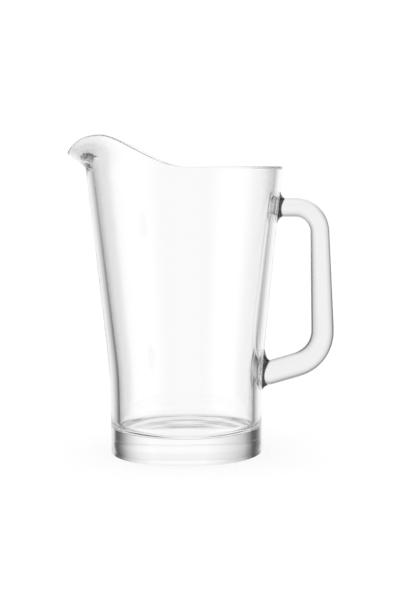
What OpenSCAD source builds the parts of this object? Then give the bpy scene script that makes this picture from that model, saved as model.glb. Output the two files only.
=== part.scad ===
// Glass beer pitcher: a pressed tapered body with a heavy base, a pouring rim with
// a raised beak spout, and a bar handle fused to the wall by two weld collars.
// Millimetres, +Z up. The origin is on the body's axis, on the table.
// The spout points to -X and the handle to +X.

/* [Body] */
// Outside diameter at the rim
rim_d = 138; // [124:1:152]
// Outside diameter of the upright heel and base
base_d = 108; // [96:1:116]
// Height of the rim above the table
rim_h = 202; // [194:0.5:230]
// Height at which the taper leaves the upright heel
heel_h = 54; // [48:0.5:66]
// Half length of the soft bend between heel and taper
heel_blend = 18; // [8:1:22]
// Thickness of the side wall at the rim
wall_t = 4.9; // [3.6:0.1:6.4]
// Thickness of the side wall from the heel down
heel_wall_t = 6.3; // [4.5:0.1:8]
// Thickness of the solid base, from the table to the floor inside
base_t = 16.9; // [12:0.1:22]
// Radius of the corner between floor and wall inside
floor_r = 6.5; // [4:0.5:14]
// Radius of the outside edge under the base
foot_r = 0.4; // [0.4:0.1:6]
// Width of the flat ring that the pitcher stands on
foot_ring_w = 12; // [6:0.5:18]
// Depth of the hollow under the base
punt_h = 1.2; // [0.5:0.1:3]

/* [Pouring rim] */
// Height of the pouring rim above the mould line
rim_ring_h = 1.6; // [1.4:0.1:4]
// Radius of the rim's outer edge
rim_round = 1; // [0.6:0.1:1.3]
// Drop of the rim's inner edge, which rolls over the rest of its thickness
rim_roll = 1.4; // [0.8:0.1:1.5]
// Rise of the spout's crest above the rim
crest_rise = 22; // [14:0.1:30]
// Angle from the spout's middle to its crest
crest_angle = 37; // [32:1:46]
// Angle from the spout's middle to where the rim starts to rise
rise_angle = 92; // [80:1:110]
// Drop from the crest's height to the lip in the spout's middle
lip_drop = 11.6; // [6:0.1:14]
// Half width of that drop, as an angle
drop_angle = 17; // [12:0.5:20]
// Reach of the lip beyond the line of the wall
lip_reach = 12.2; // [6:0.1:15]
// Half width of the beak, as an angle
beak_angle = 22; // [16:0.5:26]
// Thickness of the glass along the spout's edge
lip_t = 1.7; // [1.2:0.1:3]
// Slope of the underside where it ends at the lip
under_slope = 50; // [40:1:65]

/* [Handle] */
// Height of the upper arm's middle
arm_z = 173; // [167:0.5:182]
// Gap for the fingers between the wall and the grip, at the upper arm
finger_gap = 22.1; // [20:0.1:30]
// Thickness of the bar along the upper arm
bar_t_arm = 13.2; // [10:0.1:15]
// Thickness of the bar at the top of the grip
bar_t_grip = 13.4; // [11:0.1:16]
// Thickness of the bar at the foot of the grip
bar_t_foot = 16.2; // [12:0.1:18]
// Thickness of the bar along the lower arm
bar_t_low = 17.4; // [13:0.1:19]
// Width of the bar across its sides
bar_w = 17; // [13:0.5:22]
// Height of the facets pressed along the grip's inner edges
facet_h = 4.2; // [1:0.1:5]
// Slope of the facets from the bar's sides, in degrees
facet_slope = 47; // [30:1:60]
// Outward lean of the grip towards its lower end, in degrees
grip_lean = 1.6; // [0:0.1:4]
// Radius of the upper bend, at the bar's middle
bend_r_top = 17.5; // [14:0.5:22]
// Radius of the lower bend, at the bar's middle
bend_r_low = 25; // [16:0.5:30]
// Slope of the lower arm down to the wall, in degrees
low_arm_slope = 16; // [8:0.5:26]
// Height of the lower arm's middle at its weld
low_arm_z = 55.5; // [52:0.1:66]

/* [Welds] */
// Length of the upper collar from the wall to the bar
weld_len_top = 3.8; // [2.5:0.1:7]
// Length of the lower collar from the wall to the bar
weld_len_low = 4.4; // [4:0.1:7]
// How far the bar's upper end bulges towards the wall in its middle
bulge_top = 1.8; // [0:0.1:2]
// How far the bar's lower end bulges towards the wall in its middle
bulge_low = 2.9; // [0:0.1:3.4]
// Height of the upper collar's foot on the wall
weld_h_top = 24; // [19:0.5:28]
// Height of the lower collar's foot on the wall
weld_h_low = 31; // [24:0.5:34]
// Rise of the lower collar's foot above the bar's middle
weld_rise_low = 2.5; // [0:0.1:4]
// How far each collar's foot spreads past the bar's sides
weld_spread = 2; // [1:0.1:6]
// Rise of each collar's edge around the bar
weld_lap = 0.15; // [0.05:0.05:1.2]

/* [Hidden] */
// Clearance of the fused seams of each collar, at the wall and at the bar
seam_gap = 0.05;
// Steps of the round surfaces
$fn = 180;
arc_steps = 8;
rim_steps = 120;
wall_rows = 7;
edge_rows = 3;
bar_sides = 36;
line_rows = 4;
bend_rows = 12;
end_rows = 6;
collar_rows = 6;
foot_rows = 4;
// How far the spout's curves hold their direction at the wall and at the lip, as parts of their span
root_pull = 0.25;
lip_pull = 0.22;
// Largest part of the rim's height that its edges take up
edge_share = 0.9;
// Power of the bar's rounded outline, where 2 would be an ellipse, and of the grip's inner half
bar_power = 2.1;
grip_power = 5;
// Power of the collar's flare, where 1 would be a straight cone
flare_power = 2.4;

rim_r = rim_d / 2;
base_r = base_d / 2;
seam_h = rim_h - rim_ring_h;
taper = (rim_r - base_r) / (rim_h - heel_h);
glass = [0.86, 0.9, 0.91, 0.45];
glass_thick = [0.74, 0.8, 0.82, 0.6];

// Small helpers
function mix(a, b, w) = a + (b - a) * w;
function clamp01(u) = min(1, max(0, u));
function ease(u) = let (c = clamp01(u)) c * c * (3 - 2 * c);
function bell(angle, width) = exp(-pow(angle / width, 2));
function unit(v) = v / norm(v);
function arc(centre, r, from, to) =
    [for (i = [0:arc_steps]) let (a = mix(from, to, i / arc_steps)) centre + r * [cos(a), sin(a)]];
function bezier(p, u) =
    pow(1 - u, 3) * p[0] + 3 * pow(1 - u, 2) * u * p[1] + 3 * (1 - u) * u * u * p[2] + pow(u, 3) * p[3];

// Outside radius of the body at a height: upright heel, soft bend, straight taper
function outer_r(z) =
    let (over = z - heel_h)
    base_r + taper * (over < -heel_blend ? 0
                    : over < heel_blend ? pow(over + heel_blend, 2) / (4 * heel_blend)
                    : over);
// Inside radius: the wall grows thicker from the rim down to the heel
function inner_r(z) = outer_r(z) - mix(wall_t, heel_wall_t, clamp01((rim_h - z) / (rim_h - heel_h)));

// Heights of the points along the soft bend
bend_heights = [for (i = [0:arc_steps]) heel_h + heel_blend * (2 * i / arc_steps - 1)];

// Half section of the body, anticlockwise from the middle of the underside
function body_outline() =
    let (ring_in = base_r - foot_r - foot_ring_w,
         floor_top = base_t + floor_r,
         corner_r = inner_r(floor_top) - floor_r)
    concat(
        [for (i = [0:arc_steps]) let (u = i / arc_steps) [ring_in * u, punt_h * (1 - u * u)]],
        arc([base_r - foot_r, foot_r], foot_r, -90, 0),
        [for (z = bend_heights) [outer_r(z), z]],
        [[outer_r(seam_h), seam_h], [inner_r(seam_h), seam_h]],
        [for (i = [arc_steps:-1:0]) let (z = bend_heights[i]) if (z > floor_top) [inner_r(z), z]],
        arc([corner_r, floor_top], floor_r, 0, -90),
        [[0, base_t]]);

// Closed solid through a list of rings of points, with each end closed by a fan
module loft(rings) {
    sides = len(rings[0]);
    last = len(rings) - 1;
    points = concat([for (ring = rings) each ring], [middle(rings[0]), middle(rings[last])]);
    first_cap = len(points) - 2;
    polyhedron(points, concat(
        skin_faces(len(rings), sides, false),
        [for (k = [0:sides - 1]) [first_cap, (k + 1) % sides, k]],
        [for (k = [0:sides - 1]) [first_cap + 1, last * sides + k, last * sides + (k + 1) % sides]]));
}
function middle(ring) = [for (p = ring) 1] * ring / len(ring);
function skin_faces(rows, sides, round) =
    [for (i = [0:rows - (round ? 1 : 2)], k = [0:sides - 1])
        let (a = i * sides, b = ((i + 1) % rows) * sides, m = (k + 1) % sides)
        each [[a + k, a + m, b + m], [a + k, b + m, b + k]]];

// Pouring rim: how much of the crest there is, the edge's rise and its thickness, by the angle from
// the spout's middle
function crest(angle) = ease((rise_angle - abs(angle)) / (rise_angle - crest_angle));
function rise(angle) = crest_rise * crest(angle) - lip_drop * bell(angle, drop_angle);
function edge_t(angle) = mix(wall_t, lip_t, crest(angle));

// Control points of the curve from the wall, which leaves it straight up, to the lip
function spout_curve(foot, end, up, along) =
    let (span = norm(end - foot))
    [foot, foot + root_pull * span * up, end - lip_pull * span * along, end];

// Section of the pouring rim, as [radius, height], up the outside, over the edge and down the inside
function rim_section(angle) =
    let (beak = bell(angle, beak_angle),
         wall_slope = atan(1 / taper),
         up = unit([taper, 1]),
         slope = mix(wall_slope, under_slope, beak),
         t = edge_t(angle),
         round_out = min(rim_round, t / 2, edge_share * rim_ring_h),
         round_in = min(rim_roll, t / 2, edge_share * rim_ring_h),
         roll_w = t - round_out,
         along = [cos(slope), sin(slope)],
         across = [sin(slope), -cos(slope)],
         reach = taper * rise(angle) + lip_reach * beak,
         top = [rim_r + reach - t / 2 * sin(wall_slope), rim_h + rise(angle)],
         out_end = top + t / 2 * across - round_out * along,
         in_end = top - t / 2 * across - round_in * along,
         out_foot = [outer_r(seam_h), seam_h],
         in_foot = [inner_r(seam_h), seam_h],
         out_curve = spout_curve(out_foot, out_end, up, along),
         in_curve = spout_curve(in_foot, in_end, up, along))
    concat(
        [for (i = [0:wall_rows - 1]) bezier(out_curve, i / wall_rows)],
        [for (i = [0:edge_rows]) let (a = 90 * i / edge_rows)
            out_end + round_out * ((cos(a) - 1) * across + sin(a) * along)],
        [for (i = [1:edge_rows]) let (a = 90 * i / edge_rows)
            in_end + round_in * cos(a) * along + roll_w * (1 - sin(a)) * across],
        [for (i = [wall_rows - 1:-1:0]) bezier(in_curve, i / wall_rows)]);

// Bar outline at a given size, clockwise: [across the sides, across the thickness]. The handle's
// outside is at plus. A facet share of 0 gives an oval, and 1 cuts its two inner edges to facets.
function bar_outline(w, t, facet) =
    let (cut = [cos(facet_slope), sin(facet_slope)],
         limit = cut * [w / 2, t / 2 - facet_h])
    [for (k = [0:bar_sides - 1]) let (
        a = -360 * k / bar_sides, c = cos(a), s = sin(a),
        inner = s < 0 ? facet : 0,
        power = 2 / mix(bar_power, grip_power, inner),
        p = [w / 2 * pow(abs(c), power), t / 2 * pow(abs(s), power)],
        q = p - inner * max(0, cut * p - limit) * cut)
        [sign(c) * q.x, sign(s) * q.y]];

// Middle line of the handle in the XZ plane: two arms, two bends and the leaning grip
grip_dir = [sin(grip_lean), -cos(grip_lean)];
low_dir = [-cos(low_arm_slope), -sin(low_arm_slope)];
top_start = [outer_r(arm_z) + weld_len_top, arm_z];
low_end = [outer_r(low_arm_z) + weld_len_low, low_arm_z];
top_turn = 90 - grip_lean;
low_turn = 90 + grip_lean - low_arm_slope;
top_corner = [outer_r(arm_z) + finger_gap + bar_t_grip / 2, arm_z];
// The lower corner is where the grip's line meets the lower arm's line
low_corner = let (gap = low_end - top_corner,
                  along = (gap.x * low_dir.y - gap.y * low_dir.x)
                        / (grip_dir.x * low_dir.y - grip_dir.y * low_dir.x))
    top_corner + along * grip_dir;
top_back = bend_r_top * tan(top_turn / 2);
low_back = bend_r_low * tan(low_turn / 2);

// Places on the middle line, each as [x, z, heading, thickness, facet share]. Heading 0 points to +X
// and turns clockwise.
function line_places(from, to, heading, shape_from, shape_to) =
    [for (i = [0:line_rows]) let (u = i / line_rows)
        concat(mix(from, to, u), heading, mix(shape_from, shape_to, u))];
function bend_places(from, heading, r, turn, shape_from, shape_to) =
    let (centre = from + r * [-sin(heading), -cos(heading)])
    [for (i = [1:bend_rows - 1]) let (u = i / bend_rows, h = heading + turn * u)
        concat(centre + r * [sin(h), cos(h)], h, mix(shape_from, shape_to, ease(u)))];
arm_shape = [bar_t_arm, 0];
grip_shape = [bar_t_grip, 1];
grip_low_shape = [bar_t_foot, 1];
low_arm_shape = [bar_t_low, 0];
low_heading = top_turn + low_turn;
handle_line = concat(
    line_places(top_start, top_corner - [top_back, 0], 0, arm_shape, arm_shape),
    bend_places(top_corner - [top_back, 0], 0, bend_r_top, top_turn, arm_shape, grip_shape),
    line_places(top_corner + top_back * grip_dir, low_corner - low_back * grip_dir, top_turn,
                grip_shape, grip_low_shape),
    bend_places(low_corner - low_back * grip_dir, top_turn, bend_r_low, low_turn,
                grip_low_shape, low_arm_shape),
    line_places(low_corner + low_back * low_dir, low_end, low_heading, low_arm_shape, low_arm_shape));

// A point or the whole of the bar's outline, set square to the middle line at a place
function bar_point(place, p) = [place.x + p.y * sin(place[2]), p.x, place.y + p.y * cos(place[2])];
function bar_ring(place) = [for (p = bar_outline(bar_w, place[3], place[4])) bar_point(place, p)];

// Face of the wall, and a point moved along the bar until it lies at a distance from the wall
function wall_x(y, z) = sqrt(pow(outer_r(z), 2) - y * y);
function off_wall(p, run, gap, tries = 4) =
    tries == 0 ? p : off_wall(p + run * ((wall_x(p.y, p.z) + gap - p.x) / run.x), run, gap, tries - 1);

// Rings of the bar's end face from near its middle to its edge. The face follows the wall and bulges
// towards it. An extra widens the face on each side, and a gap moves it towards the wall.
function end_rings(place, bar_t, weld_len, bulge, extra, gap) =
    let (run = [cos(place[2]), 0, -sin(place[2])])
    [for (i = [1:end_rows])
        [for (p = bar_outline(bar_w + 2 * extra, bar_t + 2 * extra, 0)) let (
            at = p * i / end_rows,
            off = weld_len - bulge * (1 - pow(2 * at.y / bar_t, 2)) - gap)
            off_wall(bar_point(place, at), run, off)]];

// Weld collar from the bar's end face, at [x, z, heading to the wall], to its foot on the wall
function collar_rings(place, bar_t, weld_len, bulge, weld_h, weld_rise) =
    let (face = end_rings(place, bar_t, weld_len, bulge, weld_lap, seam_gap),
         end = face[end_rows - 1],
         flip = sign(cos(place[2])),
         foot = [for (p = bar_outline(bar_w + 2 * weld_spread, weld_h, 0)) [p.x, p.y * flip]],
         foot_z = place.y + weld_rise)
    concat(
        face,
        [for (i = [1:collar_rows]) let (u = i / collar_rows, flare = pow(u, flare_power))
            [for (k = [0:bar_sides - 1]) let (y = foot[k].x, z = foot_z + foot[k].y)
                [mix(end[k].x, wall_x(y, z) + seam_gap, u),
                 mix(end[k].y, y, flare), mix(end[k].z, z, flare)]]],
        [for (j = [1:foot_rows - 1]) let (s = 1 - j / foot_rows)
            [for (p = foot) [wall_x(s * p.x, foot_z + s * p.y) + seam_gap, s * p.x, foot_z + s * p.y]]]);

module body() {
    color(glass_thick)
        rotate_extrude() polygon(body_outline());
}

module pouring_rim() {
    sections = [for (i = [0:rim_steps - 1]) let (angle = 360 * i / rim_steps - 180)
        [for (p = rim_section(angle)) [-p.x * cos(angle), -p.x * sin(angle), p.y]]];
    color(glass)
        polyhedron([for (s = sections) each s], skin_faces(rim_steps, len(sections[0]), true));
}

module handle() {
    last = len(handle_line) - 1;
    upper_face = end_rings(handle_line[0], bar_t_arm, weld_len_top, bulge_top, 0, 0);
    lower_face = end_rings(handle_line[last], bar_t_low, weld_len_low, bulge_low, 0, 0);
    color(glass)
        loft(concat(
            upper_face,
            [for (i = [1:last - 1]) bar_ring(handle_line[i])],
            [for (i = [end_rows - 1:-1:0]) lower_face[i]]));
}

module upper_weld() {
    color(glass_thick)
        loft(collar_rings(concat(top_start, 180), bar_t_arm, weld_len_top, bulge_top, weld_h_top, 0));
}

module lower_weld() {
    color(glass_thick)
        loft(collar_rings(concat(low_end, low_heading), bar_t_low, weld_len_low, bulge_low,
                          weld_h_low, weld_rise_low));
}

body();
pouring_rim();
handle();
upper_weld();
lower_weld();
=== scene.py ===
"""Looks of a clear glass beer pitcher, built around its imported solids.

The body and its pouring rim become one continuous pressing of glass. The handle bar and the two
weld collars stay pieces of their own. Everything is in metres, in the frame of the solids: the
spout points to -X, the handle to +X, and the table is at Z 0.
"""

import logging
import math
from collections.abc import Callable, Iterator, Sequence
from contextlib import contextmanager
from dataclasses import dataclass
from enum import Enum

import bpy
from mathutils import Matrix, Vector

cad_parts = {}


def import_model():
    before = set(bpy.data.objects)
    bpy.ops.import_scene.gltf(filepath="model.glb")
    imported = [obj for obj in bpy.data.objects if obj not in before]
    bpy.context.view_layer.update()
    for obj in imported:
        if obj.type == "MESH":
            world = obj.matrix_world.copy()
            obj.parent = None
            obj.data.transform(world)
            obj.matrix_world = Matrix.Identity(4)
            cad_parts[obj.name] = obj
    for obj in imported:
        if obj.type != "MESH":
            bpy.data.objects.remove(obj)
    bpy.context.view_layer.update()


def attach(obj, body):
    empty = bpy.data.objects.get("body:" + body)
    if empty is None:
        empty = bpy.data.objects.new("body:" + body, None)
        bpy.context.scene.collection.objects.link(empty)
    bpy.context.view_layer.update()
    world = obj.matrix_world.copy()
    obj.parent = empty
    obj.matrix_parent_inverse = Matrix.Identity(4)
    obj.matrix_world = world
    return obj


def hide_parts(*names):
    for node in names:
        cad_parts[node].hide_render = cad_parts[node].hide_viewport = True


LOG = logging.getLogger("pitcher")
MM = 0.001
# Points nearer to each other than this, in millimetres, are one
MERGE_MM = 0.005
# Steps that settle a point at its distance from the curved wall
WALL_STEPS = 3
ROOT_BODY = "root"
PHOTO_HEIGHT_PX = 601
SENSOR_MM = 36.0
WHITE = (1.0, 1.0, 1.0, 1.0)

Point2 = tuple[float, float]
Point3 = tuple[float, float, float]


def mix(low: float, high: float, share: float) -> float:
    """Returns the value that lies the given share of the way from low to high."""
    return low + (high - low) * share


def ease(share: float) -> float:
    """Returns a smooth step from 0 to 1 as share goes from 0 to 1."""
    held = min(1.0, max(0.0, share))
    return held * held * (3.0 - 2.0 * held)


def bell(value: float, width: float) -> float:
    """Returns a bell curve of height 1 that has fallen to about a third at the given width."""
    return math.exp(-((value / width) ** 2))


def spread(count: int) -> list[float]:
    """Returns count + 1 even shares from 0 to 1."""
    return [step / count for step in range(count + 1)]


def arc(centre: Point2, radius: float, start: float, end: float, steps: int) -> list[Point2]:
    """Points along a round corner in the half section.

    Args:
        centre: Middle of the corner, as radius and height.
        radius: Corner radius.
        start: First angle in degrees, where 0 points outwards and 90 up.
        end: Last angle in degrees.
        steps: Number of steps along the corner.

    Returns:
        The points from the first angle to the last.
    """
    angles = [math.radians(mix(start, end, share)) for share in spread(steps)]
    return [(centre[0] + radius * math.cos(a), centre[1] + radius * math.sin(a)) for a in angles]


def bezier(points: Sequence[Vector], share: float) -> Vector:
    """Returns the point at a share of a cubic curve through four control points."""
    rest = 1.0 - share
    weights = (rest**3, 3 * rest * rest * share, 3 * rest * share * share, share**3)
    return sum((w * p for w, p in zip(weights, points)), Vector((0.0, 0.0)))


def linear_rgb(code: str) -> tuple[float, float, float, float]:
    """Turns an sRGB hex code into linear colour.

    Args:
        code: Six hex digits after a hash sign.

    Returns:
        Linear red, green and blue, and an alpha of 1.
    """
    channels = [int(code[i : i + 2], 16) / 255 for i in (1, 3, 5)]
    red, green, blue = (
        c / 12.92 if c <= 0.04045 else ((c + 0.055) / 1.055) ** 2.4 for c in channels
    )
    return red, green, blue, 1.0


def add_node(
    tree: bpy.types.NodeTree, kind: str, settings: dict | None = None, **inputs: object
) -> bpy.types.Node:
    """Adds a node with its settings and links.

    Args:
        tree: Node tree that gets the node.
        kind: Blender's name of the node type.
        settings: Properties to set on the node.
        inputs: Input sockets by name, with underscores for spaces, or by index as i0, i1 and so on.
            A value is set on the socket, and an output socket is linked to it.

    Returns:
        The new node.
    """
    node = tree.nodes.new(kind)
    for name, value in (settings or {}).items():
        setattr(node, name, value)
    for name, value in inputs.items():
        key = int(name[1:]) if name[0] == "i" and name[1:].isdigit() else name.replace("_", " ")
        if isinstance(value, bpy.types.NodeSocket):
            tree.links.new(value, node.inputs[key])
        else:
            node.inputs[key].default_value = value
    return node


@contextmanager
def edit_mode(piece: bpy.types.Object) -> Iterator[None]:
    """Opens a piece alone in edit mode, and leaves edit mode afterwards."""
    bpy.ops.object.select_all(action="DESELECT")
    piece.select_set(True)
    bpy.context.view_layer.objects.active = piece
    bpy.ops.object.mode_set(mode="EDIT")
    yield
    bpy.ops.object.mode_set(mode="OBJECT")


def start_primitive(name: str, add: Callable[..., set], **settings: object) -> bpy.types.Object:
    """Adds a primitive as the start of a piece.

    Args:
        name: Name of the piece.
        add: Operator that adds the primitive.
        settings: The operator's settings.

    Returns:
        The new object.
    """
    bpy.ops.object.select_all(action="DESELECT")
    add(**settings)
    piece = bpy.context.active_object
    piece.name = piece.data.name = name
    return piece


def move_selected(piece: bpy.types.Object, move: Callable[[Vector], Vector]) -> None:
    """Moves the selected points of a piece in edit mode by a rule.

    Args:
        piece: Piece that is open in edit mode.
        move: Gives a point's new place from its old one.
    """
    bpy.ops.object.mode_set(mode="OBJECT")
    for vertex in piece.data.vertices:
        if vertex.select:
            vertex.co = move(vertex.co.copy())
    bpy.ops.object.mode_set(mode="EDIT")


def smooth_piece(piece: bpy.types.Object, levels: int) -> None:
    """Applies a Subdivision Surface and smooth shading to a piece.

    Args:
        piece: Piece to finish.
        levels: Levels of subdivision.
    """
    bpy.ops.object.select_all(action="DESELECT")
    piece.select_set(True)
    bpy.context.view_layer.objects.active = piece
    surface = piece.modifiers.new("smooth", "SUBSURF")
    surface.levels = surface.render_levels = levels
    bpy.ops.object.modifier_apply(modifier=surface.name)
    bpy.ops.object.shade_smooth()


@dataclass(frozen=True)
class GlassFinish:
    """Clear soda-lime glass, pressed in an iron mould and fire-polished.

    The eye sees a clean bright surface, faint waves where the mould chilled the glass, and a
    trace of grey where the light's path through the glass is long.
    """

    name: str
    tint: str = "#FFFFFF"
    depth_tint: str = "#E7E7E7"
    density: float = 0.3
    ior: float = 1.52
    roughness: float = 0.0
    wave_mm: float = 26.0
    wave_height_mm: float = 0.02

    def material(self) -> bpy.types.Material:
        """Builds the finish as a node material.

        Returns:
            The new material.
        """
        made = bpy.data.materials.new(self.name)
        made.use_nodes = True
        tree = made.node_tree
        tree.nodes.clear()
        place = add_node(tree, "ShaderNodeTexCoord")
        waves = add_node(
            tree,
            "ShaderNodeTexNoise",
            Vector=place.outputs["Object"],
            Scale=1.0 / (self.wave_mm * MM),
            Detail=1.0,
        )
        bump = add_node(
            tree,
            "ShaderNodeBump",
            Strength=1.0,
            Distance=self.wave_height_mm * MM,
            Height=waves.outputs["Fac"],
        )
        glass = add_node(
            tree,
            "ShaderNodeBsdfPrincipled",
            Base_Color=linear_rgb(self.tint),
            Roughness=self.roughness,
            IOR=self.ior,
            Transmission_Weight=1.0,
            Normal=bump.outputs["Normal"],
        )
        depth = add_node(
            tree,
            "ShaderNodeVolumeAbsorption",
            Color=linear_rgb(self.depth_tint),
            Density=self.density,
        )
        add_node(
            tree,
            "ShaderNodeOutputMaterial",
            Surface=glass.outputs["BSDF"],
            Volume=depth.outputs["Volume"],
        )
        return made


def dress(piece: bpy.types.Object, finish: bpy.types.Material, slot: str, *nodes: str) -> None:
    """Gives a piece its finish and its place among the solids.

    Args:
        piece: Finished piece.
        finish: Material of the piece.
        slot: Material slot of the record that the piece belongs to. Not used.
        nodes: Solids that the piece stands for.
    """
    piece.data.materials.clear()
    piece.data.materials.append(finish)
    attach(piece, ROOT_BODY)
    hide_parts(*nodes)
    LOG.info("%s: %d faces, for %s", piece.name, len(piece.data.polygons), ", ".join(nodes))


@dataclass(frozen=True)
class Vessel:
    """The pressed glass body with its heavy base, tapered wall, rounded rim and beak spout.

    Lengths are in millimetres and angles in degrees, as in the solids. The rim is a hair narrower
    than theirs, so that the skin stays inside their box, and the edge under the base is tighter.
    """

    # Body
    rim_d: float = 137.99
    base_d: float = 108.0
    rim_h: float = 202.0
    heel_h: float = 54.0
    heel_blend: float = 18.0
    wall_t: float = 4.9
    heel_wall_t: float = 6.3
    base_t: float = 16.9
    floor_r: float = 6.5
    foot_r: float = 0.15
    foot_ring_w: float = 12.0
    punt_h: float = 1.2
    # Pouring rim and spout
    rim_ring_h: float = 1.6
    rim_round: float = 1.0
    rim_round_in: float = 1.4
    crest_rise: float = 22.0
    crest_angle: float = 37.0
    rise_angle: float = 92.0
    lip_drop: float = 11.6
    drop_angle: float = 17.0
    lip_reach: float = 12.2
    beak_angle: float = 22.0
    lip_t: float = 1.7
    under_slope: float = 50.0
    root_pull: float = 0.25
    lip_pull: float = 0.22
    # Mould line: its ridge, and the ridge's points as shares of its depth and height
    seam_ridge: float = 0.15
    seam_ridge_h: float = 0.6
    ridge_profile: tuple[Point2, ...] = ((0.0, 2.0), (0.0, 1.0), (1.0, 0.5), (0.0, 0.0))
    # Rows of points around, under and up the body, and over the rim
    turns: int = 128
    under_rows: int = 8
    foot_rows: int = 8
    floor_rows: int = 10
    bend_rows: int = 10
    taper_rows: int = 12
    wall_rows: int = 7
    edge_rows: int = 4
    # Places of the rows that hold the corners tight when the skin is smoothed
    ring_shares: tuple[float, ...] = (0.0, 0.1, 0.5, 0.97)
    heel_shares: tuple[float, ...] = (0.01, 0.3, 0.65)
    cavity_shares: tuple[float, ...] = (0.5, 0.9)
    floor_shares: tuple[float, ...] = (0.95, 0.6, 0.3, 0.0)
    # Height above the mould line from which a point belongs to the pouring rim
    rim_start: float = 0.01
    smooth_levels: int = 1

    @property
    def taper(self) -> float:
        """Growth of the radius with height along the straight wall."""
        return (self.rim_d - self.base_d) / 2 / (self.rim_h - self.heel_h)

    @property
    def seam_h(self) -> float:
        """Height of the mould line."""
        return self.rim_h - self.rim_ring_h

    def outer_r(self, height: float) -> float:
        """Outside radius of the body at a height: upright heel, soft bend, straight taper."""
        over = height - self.heel_h
        if over < -self.heel_blend:
            run = 0.0
        elif over < self.heel_blend:
            run = (over + self.heel_blend) ** 2 / (4 * self.heel_blend)
        else:
            run = over
        return self.base_d / 2 + self.taper * run

    def inner_r(self, height: float) -> float:
        """Inside radius of the body at a height: the wall grows thicker from rim to heel."""
        depth = min(1.0, max(0.0, (self.rim_h - height) / (self.rim_h - self.heel_h)))
        return self.outer_r(height) - mix(self.wall_t, self.heel_wall_t, depth)

    def wall_heights(self) -> list[float]:
        """Heights of the wall's rows: close together in the soft bend, wider along the taper."""
        low, high = self.heel_h - self.heel_blend, self.heel_h + self.heel_blend
        bend = [mix(low, high, share) for share in spread(self.bend_rows)]
        return bend + [mix(high, self.seam_h, share) for share in spread(self.taper_rows)[1:]]

    def lower_outline(self) -> list[Point2]:
        """Half section outside, from the axis under the base up to the mould line."""
        ring_out = self.base_d / 2 - self.foot_r
        ring_in = ring_out - self.foot_ring_w
        under = [
            (ring_in * share, self.punt_h * (1 - share * share))
            for share in spread(self.under_rows)[:-1]
        ]
        ring = [(mix(ring_in, ring_out, share), 0.0) for share in self.ring_shares]
        corner = arc((ring_out, self.foot_r), self.foot_r, -90, 0, self.foot_rows)
        heel_low = self.heel_h - self.heel_blend
        heel = [(self.base_d / 2, mix(self.foot_r, heel_low, share)) for share in self.heel_shares]
        wall = [(self.outer_r(height), height) for height in self.wall_heights()[:-1]]
        seam_r = self.outer_r(self.seam_h)
        ridge = [
            (seam_r + proud * self.seam_ridge, self.seam_h - below * self.seam_ridge_h)
            for proud, below in self.ridge_profile
        ]
        return under + ring + corner + heel + wall + ridge

    def cavity_outline(self) -> list[Point2]:
        """Half section of the cavity, from the mould line inside down to the floor's middle."""
        floor_top = self.base_t + self.floor_r
        corner_r = self.inner_r(floor_top) - self.floor_r
        wall = [(self.inner_r(height), height) for height in reversed(self.wall_heights())]
        heel_low = self.heel_h - self.heel_blend
        heel = [(self.inner_r(0), mix(heel_low, floor_top, share)) for share in self.cavity_shares]
        corner = arc((corner_r, floor_top), self.floor_r, 0, -90, self.floor_rows)
        floor = [(corner_r * share, self.base_t) for share in self.floor_shares]
        return wall + heel + corner + floor

    def crest(self, angle: float) -> float:
        """Share of the crest that there is at an angle from the spout's middle."""
        return ease((self.rise_angle - abs(angle)) / (self.rise_angle - self.crest_angle))

    def rise(self, angle: float) -> float:
        """Height of the edge above the rim at an angle from the spout's middle."""
        return self.crest_rise * self.crest(angle) - self.lip_drop * bell(angle, self.drop_angle)

    def rim_section(self, angle: float) -> list[Point2]:
        """Section of the pouring rim between the two mould lines.

        Args:
            angle: Angle from the spout's middle.

        Returns:
            Points as radius and height, up the outside, over the edge and down the inside.
        """
        beak = bell(angle, self.beak_angle)
        wall_slope = math.degrees(math.atan2(1.0, self.taper))
        wall_up = Vector((self.taper, 1.0)).normalized()
        edge_t = mix(self.wall_t, self.lip_t, self.crest(angle))
        round_out = min(self.rim_round, edge_t / 2)
        round_in = min(self.rim_round_in, edge_t / 2)
        slope = math.radians(mix(wall_slope, self.under_slope, beak))
        along = Vector((math.cos(slope), math.sin(slope)))
        across = Vector((math.sin(slope), -math.cos(slope)))
        rise = self.rise(angle)
        edge_r = self.rim_d / 2 + self.taper * rise + self.lip_reach * beak
        edge_r -= edge_t / 2 * math.sin(math.radians(wall_slope))
        top = Vector((edge_r, self.rim_h + rise))
        out_end = top + edge_t / 2 * across - round_out * along
        in_end = top - edge_t / 2 * across - round_in * along
        out_foot = Vector((self.outer_r(self.seam_h), self.seam_h))
        in_foot = Vector((self.inner_r(self.seam_h), self.seam_h))
        out_curve, in_curve = (
            (
                foot,
                foot + self.root_pull * (end - foot).length * wall_up,
                end - self.lip_pull * (end - foot).length * along,
                end,
            )
            for foot, end in ((out_foot, out_end), (in_foot, in_end))
        )
        quarter = [math.radians(90 * share) for share in spread(self.edge_rows)]
        roll_in = edge_t - round_out
        out_edge = [
            out_end + round_out * ((math.cos(a) - 1) * across + math.sin(a) * along)
            for a in quarter
        ]
        in_edge = [
            in_end + round_in * math.cos(a) * along - roll_in * (math.sin(a) - 1) * across
            for a in quarter
        ]
        rows = spread(self.wall_rows)
        outside = [bezier(out_curve, share) for share in rows[1:-1]]
        inside = [bezier(in_curve, share) for share in reversed(rows[1:-1])]
        return [(p.x, p.y) for p in outside + out_edge + in_edge[1:] + inside]

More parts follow.
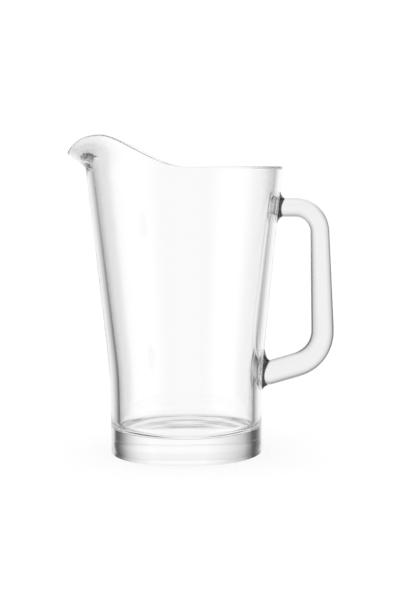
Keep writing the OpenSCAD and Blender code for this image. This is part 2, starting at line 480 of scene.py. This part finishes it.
    def build(self) -> bpy.types.Object:
        """Extrudes the half section, spins it and draws the spout out of the rim.

        Returns:
            The finished vessel.
        """
        back = self.rim_section(180.0)
        outline = self.lower_outline() + back + self.cavity_outline()
        piece = start_primitive("glass_vessel", bpy.ops.mesh.primitive_plane_add, size=2 * MM)
        with edit_mode(piece):
            bpy.ops.mesh.merge(type="CENTER")
            here = Vector((0.0, 0.0, 0.0))
            for step, (radius, height) in enumerate(outline):
                there = Vector((radius * MM, 0.0, height * MM))
                if step:
                    bpy.ops.mesh.extrude_region_move(TRANSFORM_OT_translate={"value": there - here})
                else:
                    bpy.ops.transform.translate(value=there - here)
                here = there
            bpy.ops.mesh.select_all(action="SELECT")
            bpy.ops.mesh.spin(steps=self.turns, angle=math.tau, center=(0, 0, 0), axis=(0, 0, 1))
            bpy.ops.mesh.select_all(action="SELECT")
            bpy.ops.mesh.remove_doubles(threshold=MERGE_MM * MM)
            bpy.ops.mesh.normals_make_consistent(inside=False)
            move_selected(piece, self.spout_rule(back))
        smooth_piece(piece, self.smooth_levels)
        return piece

    def spout_rule(self, back: list[Point2]) -> Callable[[Vector], Vector]:
        """Rule that draws the plain rim of revolution out into the spout.

        Args:
            back: Section of the plain rim opposite the spout.

        Returns:
            A rule that gives a point's new place from its old one.
        """
        step = 360 / self.turns
        sections: dict[int, list[Point2]] = {}

        def move(place: Vector) -> Vector:
            """Moves a point of the plain rim to the same row of the section at its angle."""
            height, radius = place.z / MM, math.hypot(place.x, place.y) / MM
            if height < self.seam_h + self.rim_start:
                return place
            turn = round(math.degrees(math.atan2(place.y, -place.x)) / step)
            if turn not in sections:
                sections[turn] = self.rim_section(turn * step)
            gaps = [math.hypot(back_r - radius, back_h - height) for back_r, back_h in back]
            row = gaps.index(min(gaps))
            new_r, new_h = sections[turn][row]
            around = math.atan2(place.y, place.x)
            return Vector((new_r * math.cos(around), new_r * math.sin(around), new_h)) * MM

        return move


@dataclass(frozen=True)
class Place:
    """A place on the handle's middle line: where it is, where it heads, and the bar's shape there.

    The facet share is 0 where the bar is an oval and 1 where its edges are pressed to facets.
    """

    x: float
    z: float
    heading: float
    thickness: float
    facet: float

    def spot(self, side: float, thick: float) -> Vector:
        """Point of the bar's outline, from its places across the sides and the thickness."""
        turn = math.radians(self.heading)
        return Vector((self.x + thick * math.sin(turn), side, self.z + thick * math.cos(turn)))


def loft_rings(name: str, rings: Sequence[Sequence[Vector]], levels: int) -> bpy.types.Object:
    """Extrudes a disc from ring to ring into a closed piece.

    Args:
        name: Name of the piece.
        rings: Rings of points in millimetres, each with as many points and in the same order.
        levels: Levels of subdivision that finish it.

    Returns:
        The finished piece.
    """
    piece = start_primitive(
        name, bpy.ops.mesh.primitive_circle_add, vertices=len(rings[0]), radius=MM, fill_type="NGON"
    )
    with edit_mode(piece):
        bpy.ops.mesh.select_all(action="SELECT")
        for step, ring in enumerate(rings):
            if step:
                bpy.ops.mesh.extrude_region_move()
            places = iter(ring)
            move_selected(piece, lambda _, places=places: next(places) * MM)
        bpy.ops.mesh.select_all(action="SELECT")
        bpy.ops.mesh.normals_make_consistent(inside=False)
    smooth_piece(piece, levels)
    return piece


@dataclass(frozen=True)
class Handle:
    """The solid glass bar: upper arm, bend, leaning grip, bend and lower arm, in millimetres.

    The facet profile runs from one side to the grip's inner edge, as shares of the half width and
    the half thickness.
    """

    vessel: Vessel
    arm_z: float = 173.0
    finger_gap: float = 22.1
    bar_t_arm: float = 13.2
    bar_t_grip: float = 13.4
    bar_t_foot: float = 16.2
    bar_t_low: float = 17.4
    bar_w: float = 17.0
    grip_lean: float = 1.6
    bend_r_top: float = 17.5
    bend_r_low: float = 25.0
    low_arm_slope: float = 16.0
    low_arm_z: float = 55.5
    weld_len_top: float = 3.8
    weld_len_low: float = 4.4
    end_bulge_top: float = 1.8
    end_bulge_low: float = 2.9
    bar_power: float = 2.1
    facet_profile: tuple[Point2, ...] = (
        (1.0, 0.0), (1.0, 0.2), (1.0, 0.36), (0.997, 0.392), (0.962, 0.42), (0.94, 0.45),
        (0.9, 0.505), (0.838, 0.58), (0.7, 0.737), (0.56, 0.868), (0.465, 0.93), (0.34, 0.975),
        (0.18, 0.995), (0.0, 1.0),
    )
    outer_steps: int = 20
    line_rows: int = 6
    bend_rows: int = 12
    end_rows: int = 4
    joint_lap: float = 0.12
    smooth_levels: int = 2

    def route(self) -> list[Place]:
        """Places along the middle line, from the upper weld to the lower one."""
        lean, slope = math.radians(self.grip_lean), math.radians(self.low_arm_slope)
        grip_dir = Vector((math.sin(lean), -math.cos(lean)))
        low_dir = Vector((-math.cos(slope), -math.sin(slope)))
        start = Vector((self.vessel.outer_r(self.arm_z) + self.weld_len_top, self.arm_z))
        end = Vector((self.vessel.outer_r(self.low_arm_z) + self.weld_len_low, self.low_arm_z))
        grip_x = self.vessel.outer_r(self.arm_z) + self.finger_gap + self.bar_t_grip / 2
        top = Vector((grip_x, self.arm_z))
        gap = end - top
        across = grip_dir.x * low_dir.y - grip_dir.y * low_dir.x
        reach = (gap.x * low_dir.y - gap.y * low_dir.x) / across
        low = top + reach * grip_dir
        top_turn, low_turn = 90 - self.grip_lean, 90 + self.grip_lean - self.low_arm_slope
        top_back = self.bend_r_top * math.tan(math.radians(top_turn / 2))
        low_back = self.bend_r_low * math.tan(math.radians(low_turn / 2))
        into_top = Place(top.x - top_back, top.y, 0.0, self.bar_t_arm, 0.0)
        off_top = Place(*(top + top_back * grip_dir), top_turn, self.bar_t_grip, 1.0)
        into_low = Place(*(low - low_back * grip_dir), top_turn, self.bar_t_foot, 1.0)
        off_low = Place(*(low + low_back * low_dir), top_turn + low_turn, self.bar_t_low, 0.0)
        return [
            *self.line(Place(*start, 0.0, self.bar_t_arm, 0.0), into_top),
            *self.bend(into_top, self.bend_r_top, off_top),
            *self.line(off_top, into_low),
            *self.bend(into_low, self.bend_r_low, off_low),
            *self.line(off_low, Place(*end, top_turn + low_turn, self.bar_t_low, 0.0)),
        ]

    def line(self, start: Place, end: Place) -> list[Place]:
        """Places along a straight stretch of the bar, with both its ends."""
        return [
            Place(
                mix(start.x, end.x, share),
                mix(start.z, end.z, share),
                start.heading,
                mix(start.thickness, end.thickness, share),
                mix(start.facet, end.facet, share),
            )
            for share in spread(self.line_rows)
        ]

    def bend(self, start: Place, radius: float, end: Place) -> list[Place]:
        """Places along a round bend of the bar, without its two ends."""
        first = math.radians(start.heading)
        centre_x, centre_z = start.x - radius * math.sin(first), start.z - radius * math.cos(first)
        places = []
        for share in spread(self.bend_rows)[1:-1]:
            now = mix(first, math.radians(end.heading), share)
            x, z = centre_x + radius * math.sin(now), centre_z + radius * math.cos(now)
            thickness = mix(start.thickness, end.thickness, ease(share))
            facet = mix(start.facet, end.facet, ease(share))
            places.append(Place(x, z, math.degrees(now), thickness, facet))
        return places

    def outline(self, width: float, thickness: float, facet: float) -> list[Point2]:
        """Outline of the bar, as places across its sides and across its thickness.

        Args:
            width: Width across the sides.
            thickness: Thickness, with the outside of the handle's bends on the plus side.
            facet: 0 for an oval, 1 for an outline with its edges pressed to facets.

        Returns:
            The points, once around.
        """
        pressed = [(side, -thick) for side, thick in self.facet_profile]
        pressed += [(-side, thick) for side, thick in reversed(pressed[:-1])]
        shape = []
        for side, thick in pressed:
            round_side, round_thick = self.oval(math.atan2(thick, side))
            shape.append((mix(round_side, side, facet), mix(round_thick, thick, facet)))
        shape += [self.oval(math.pi * (1 - share)) for share in spread(self.outer_steps)[1:-1]]
        return [(side * width / 2, thick * thickness / 2) for side, thick in shape]

    def oval(self, angle: float) -> Point2:
        """Point of an oval of half width and half thickness 1, in a direction given in radians."""
        side, thick = math.cos(angle), math.sin(angle)
        power = self.bar_power
        reach = (abs(side) ** power + abs(thick) ** power) ** (-1 / power)
        return side * reach, thick * reach

    def ring(self, place: Place) -> list[Vector]:
        """Outline of the bar at a place."""
        outline = self.outline(self.bar_w, place.thickness, place.facet)
        return [place.spot(*point) for point in outline]

    def end_rings(self, spot: "WeldSpot", extra: float, lap: float) -> list[list[Vector]]:
        """Rings of the bar's bulging end face, which keeps its distance from the wall.

        Args:
            spot: Weld at the end in question.
            extra: Growth of the outline on each side.
            lap: Shift of the face along the bar, towards the wall.

        Returns:
            The rings, from the middle of the face to its edge.
        """
        upper = spot is WeldSpot.UPPER
        place = self.route()[0 if upper else -1]
        length = self.weld_len_top if upper else self.weld_len_low
        bulge = self.end_bulge_top if upper else self.end_bulge_low
        turn = math.radians(place.heading)
        run = Vector((math.cos(turn), 0.0, -math.sin(turn)))
        outline = self.outline(self.bar_w + 2 * extra, place.thickness + 2 * extra, place.facet)
        rings = []
        for share in spread(self.end_rows)[1:]:
            ring = []
            for side, thick in outline:
                spot_now = place.spot(share * side, share * thick)
                gap = length - bulge * (1 - (2 * share * thick / place.thickness) ** 2) - lap
                for _ in range(WALL_STEPS):
                    wall = math.sqrt(self.vessel.outer_r(spot_now.z) ** 2 - spot_now.y**2)
                    spot_now = spot_now + run * ((wall + gap - spot_now.x) / run.x)
                ring.append(spot_now)
            rings.append(ring)
        return rings

    def build(self) -> bpy.types.Object:
        """Extrudes the outline along the route, from one end face to the other.

        Returns:
            The finished bar.
        """
        upper = self.end_rings(WeldSpot.UPPER, 0.0, self.joint_lap)
        lower = self.end_rings(WeldSpot.LOWER, 0.0, self.joint_lap)
        rings = upper + [self.ring(place) for place in self.route()[1:-1]] + lower[::-1]
        return loft_rings("handle_bar", rings, self.smooth_levels)


class WeldSpot(Enum):
    """The two places where the handle is fused to the wall."""

    UPPER = "upper_weld"
    LOWER = "lower_weld"


@dataclass(frozen=True)
class WeldCollar:
    """A flared collar of glass between the bar's end and the wall, in millimetres.

    A face nearer to the wall than the face depth is part of the foot, and one inside the cap share
    of the bar's outline is part of the face on the bar.
    """

    spot: WeldSpot
    vessel: Vessel
    handle: Handle
    foot_h: float
    foot_rise: float = 0.0
    spread_w: float = 2.0
    lap: float = 0.15
    flare_power: float = 2.4
    collar_rows: int = 7
    foot_rows: int = 4
    seam_gap: float = 0.05
    face_depth: float = 0.15
    cap_share: float = 0.95
    smooth_levels: int = 2

    def wall_point(self, side: float, height: float) -> Vector:
        """Point just off the wall's face."""
        x = math.sqrt(self.vessel.outer_r(height) ** 2 - side * side) + self.seam_gap
        return Vector((x, side, height))

    def build(self) -> bpy.types.Object:
        """Extrudes the collar from the bar's end face to its foot on the wall.

        Returns:
            The finished collar.
        """
        route = self.handle.route()
        end = route[0] if self.spot is WeldSpot.UPPER else route[-1]
        up = math.copysign(1.0, math.cos(math.radians(end.heading)))
        foot_z = end.z + self.foot_rise
        foot_w = self.handle.bar_w + 2 * self.spread_w
        outline = self.handle.outline(foot_w, self.foot_h, 0.0)
        feet = [(side, foot_z + up * high) for side, high in outline]
        rings = self.handle.end_rings(self.spot, self.lap, 0.0)
        rim = rings.pop()
        for share in spread(self.collar_rows):
            flare = share**self.flare_power
            row = []
            for at, foot in zip(rim, feet):
                wall = self.wall_point(*foot)
                side, high = mix(at.y, wall.y, flare), mix(at.z, wall.z, flare)
                row.append(Vector((mix(at.x, wall.x, share), side, high)))
            rings.append(row)
        for step in range(1, self.foot_rows):
            inner = 1 - step / self.foot_rows
            rings.append(
                [self.wall_point(inner * side, mix(foot_z, high, inner)) for side, high in feet]
            )
        return loft_rings(self.spot.value + "_collar", rings, self.smooth_levels)

    def clear_ends(self, piece: bpy.types.Object, finish: bpy.types.Material) -> None:
        """Gives the collar's two end faces, on the wall and on the bar, a finish of their own.

        Args:
            piece: Collar whose flared side has a near-black finish of painted shade.
            finish: Material of the end faces.
        """
        rim = self.handle.end_rings(self.spot, self.lap, 0.0)[-1]
        wide = max(point.y for point in rim)
        low, high = min(point.z for point in rim), max(point.z for point in rim)
        piece.data.materials.append(finish)
        for face in piece.data.polygons:
            reach, side, height = (part / MM for part in face.center)
            on_wall = reach - self.wall_point(side, height).x < self.face_depth
            over = (2 * height - low - high) / (high - low)
            if on_wall or math.hypot(side / wide, over) < self.cap_share:
                face.material_index = 1


@dataclass(frozen=True)
class Studio:
    """Plain pale floor, soft studio surround and the camera at the photograph's angle.

    The surround's tones are given by angle in degrees. Around the object 0 is straight behind it
    and plus is to the right: white behind, a dark card on each side of that, a soft box beyond
    each card and pale grey behind the camera. Above and below, 0 is level: greyer high up, and
    white straight above and below, where the cards end.
    """

    focal_px: float = 1313.0
    camera_mm: Point3 = (10.7, -926.5, 202.0)
    pitch: float = -5.82
    roll: float = -0.42
    floor_m: float = 8.0
    shadow_share: float = 0.3
    floor_glow: float = 1.08
    around: tuple[Point2, ...] = (
        (-180, 0.7), (-145, 0.7), (-125, 1.1), (-105, 1.1), (-90, 0.9), (-78, 0.45), (-68, 0.08),
        (-54, 0.04), (-48, 0.1), (-42, 0.3), (-37, 0.55), (-28, 0.74), (-18, 0.9), (-10, 1.0),
        (18, 1.0), (28, 0.88), (36, 0.66), (46, 0.26), (52, 0.08), (58, 0.02), (62, 0.15),
        (67, 0.7), (76, 0.9), (105, 1.1), (130, 1.1), (150, 0.7),
    )
    above: tuple[Point2, ...] = (
        (-90, 1.0), (-76, 0.92), (-66, 0.85), (-52, 0.85), (-43, 0.93), (-35, 1.0), (11, 1.0),
        (13, 0.93), (18, 0.93), (36, 0.42), (60, 0.42), (74, 0.75), (90, 1.0),
    )
    card_low: float = 60.0
    card_high: float = 80.0
    glass_bounces: int = 96

    def build(self) -> None:
        """Makes the camera, the world and the floor."""
        self.place_camera()
        self.light_world()
        self.lay_floor()
        scene = bpy.context.scene
        scene.view_settings.view_transform = "Standard"
        scene.cycles.max_bounces = scene.cycles.glossy_bounces = self.glass_bounces
        scene.cycles.transmission_bounces = self.glass_bounces

    def place_camera(self) -> None:
        """Places the camera of the photograph."""
        lens = bpy.data.cameras.new("photo_camera")
        lens.sensor_width = SENSOR_MM
        lens.lens = self.focal_px * SENSOR_MM / PHOTO_HEIGHT_PX
        camera = bpy.data.objects.new("photo_camera", lens)
        bpy.context.collection.objects.link(camera)
        tilt = Matrix.Rotation(math.radians(90 + self.pitch), 4, "X")
        tilt = tilt @ Matrix.Rotation(math.radians(self.roll), 4, "Z")
        camera.matrix_world = Matrix.Translation(Vector(self.camera_mm) * MM) @ tilt
        bpy.context.scene.camera = camera

    @staticmethod
    def tone_ramp(
        tree: bpy.types.NodeTree, angle: bpy.types.NodeSocket, low: float, tones: Sequence[Point2]
    ) -> bpy.types.NodeSocket:
        """Adds a ramp of tones over an angle.

        Args:
            tree: Node tree of the world.
            angle: Socket with the angle in radians.
            low: Angle in degrees at the ramp's start, below 0. The ramp ends as far above 0.
            tones: Pairs of angle in degrees and tone.

        Returns:
            The socket with the tone.
        """
        span = -2 * low
        share = add_node(
            tree,
            "ShaderNodeMath",
            {"operation": "MULTIPLY_ADD"},
            i0=angle,
            i1=math.degrees(1.0) / span,
            i2=-low / span,
        )
        node = add_node(tree, "ShaderNodeValToRGB", Fac=share.outputs[0])
        ramp = node.color_ramp
        ramp.elements.remove(ramp.elements[-1])
        for step, (place, tone) in enumerate(tones):
            spot = (place - low) / span
            element = ramp.elements.new(spot) if step else ramp.elements[0]
            element.position = spot
            element.color = (tone, tone, tone, 1.0)
        return node.outputs["Color"]

    def light_world(self) -> None:
        """Builds the surround, which the camera and the floor see as plain white."""
        world = bpy.data.worlds.new("studio")
        bpy.context.scene.world = world
        world.use_nodes = True
        tree = world.node_tree
        tree.nodes.clear()
        place = add_node(tree, "ShaderNodeTexCoord")
        parts = add_node(tree, "ShaderNodeSeparateXYZ", Vector=place.outputs["Generated"])
        turn = add_node(
            tree,
            "ShaderNodeMath",
            {"operation": "ARCTAN2"},
            i0=parts.outputs["X"],
            i1=parts.outputs["Y"],
        )
        level = add_node(tree, "ShaderNodeMath", {"operation": "ARCSINE"}, i0=parts.outputs["Z"])
        height = add_node(tree, "ShaderNodeMath", {"operation": "ABSOLUTE"}, i0=level.outputs[0])
        around = self.tone_ramp(tree, turn.outputs[0], -180.0, self.around)
        above = self.tone_ramp(tree, level.outputs[0], -90.0, self.above)
        off_card = add_node(
            tree,
            "ShaderNodeMapRange",
            {"interpolation_type": "SMOOTHSTEP"},
            Value=height.outputs[0],
            From_Min=math.radians(self.card_low),
            From_Max=math.radians(self.card_high),
        )
        faded = add_node(
            tree,
            "ShaderNodeMix",
            {"data_type": "RGBA"},
            i0=off_card.outputs[0],
            i6=around,
            i7=WHITE,
        )
        cards = add_node(
            tree,
            "ShaderNodeMix",
            {"data_type": "RGBA", "blend_type": "MULTIPLY"},
            i0=1.0,
            i6=faded.outputs[2],
            i7=above,
        )
        path = add_node(tree, "ShaderNodeLightPath")
        plain = add_node(
            tree,
            "ShaderNodeMath",
            {"operation": "MAXIMUM"},
            i0=path.outputs["Is Camera Ray"],
            i1=path.outputs["Is Diffuse Ray"],
        )
        blend = add_node(
            tree,
            "ShaderNodeMix",
            {"data_type": "RGBA"},
            i0=plain.outputs[0],
            i6=cards.outputs[2],
            i7=WHITE,
        )
        light = add_node(tree, "ShaderNodeBackground", Color=blend.outputs[2], Strength=1.0)
        add_node(tree, "ShaderNodeOutputWorld", Surface=light.outputs["Background"])

    def lay_floor(self) -> None:
        """Lays a plain pale floor that keeps the object's shadow."""
        floor = start_primitive("studio_floor", bpy.ops.mesh.primitive_plane_add, size=self.floor_m)
        made = bpy.data.materials.new("pale_floor")
        made.use_nodes = True
        tree = made.node_tree
        tree.nodes.clear()
        matt = add_node(tree, "ShaderNodeBsdfDiffuse", Color=WHITE)
        glow = add_node(tree, "ShaderNodeEmission", Color=WHITE, Strength=self.floor_glow)
        blend = add_node(
            tree,
            "ShaderNodeMixShader",
            i0=self.shadow_share,
            i1=glow.outputs[0],
            i2=matt.outputs[0],
        )
        add_node(tree, "ShaderNodeOutputMaterial", Surface=blend.outputs[0])
        floor.data.materials.append(made)
        floor.visible_transmission = False
        floor.visible_glossy = False


def main() -> None:
    """Builds every piece of the pitcher, then the studio around it."""
    logging.basicConfig(level=logging.INFO, format="%(name)s: %(message)s")
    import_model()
    vessel = Vessel()
    handle = Handle(vessel)
    body_glass = GlassFinish("pressed_soda_lime_glass").material()
    bar_glass = GlassFinish("fire_polished_bar_glass", tint="#F3F3F3").material()
    # A deep near-black tint is painted shade on the collars: it stands for the dark tones that the
    # flared sides of the welds send to the eye
    painted_shade_collar_glass = GlassFinish("fused_collar_painted_shade", tint="#101010").material()
    dress(vessel.build(), body_glass, "vessel_glass", "body", "pouring_rim")
    dress(handle.build(), bar_glass, "handle_glass", "handle")
    collars = (
        WeldCollar(WeldSpot.UPPER, vessel, handle, foot_h=24.0),
        WeldCollar(WeldSpot.LOWER, vessel, handle, foot_h=31.0, foot_rise=2.5),
    )
    for collar in collars:
        piece = collar.build()
        dress(piece, painted_shade_collar_glass, "handle_glass", collar.spot.value)
        collar.clear_ends(piece, body_glass)
    Studio().build()


if __name__ == "__main__":
    main()
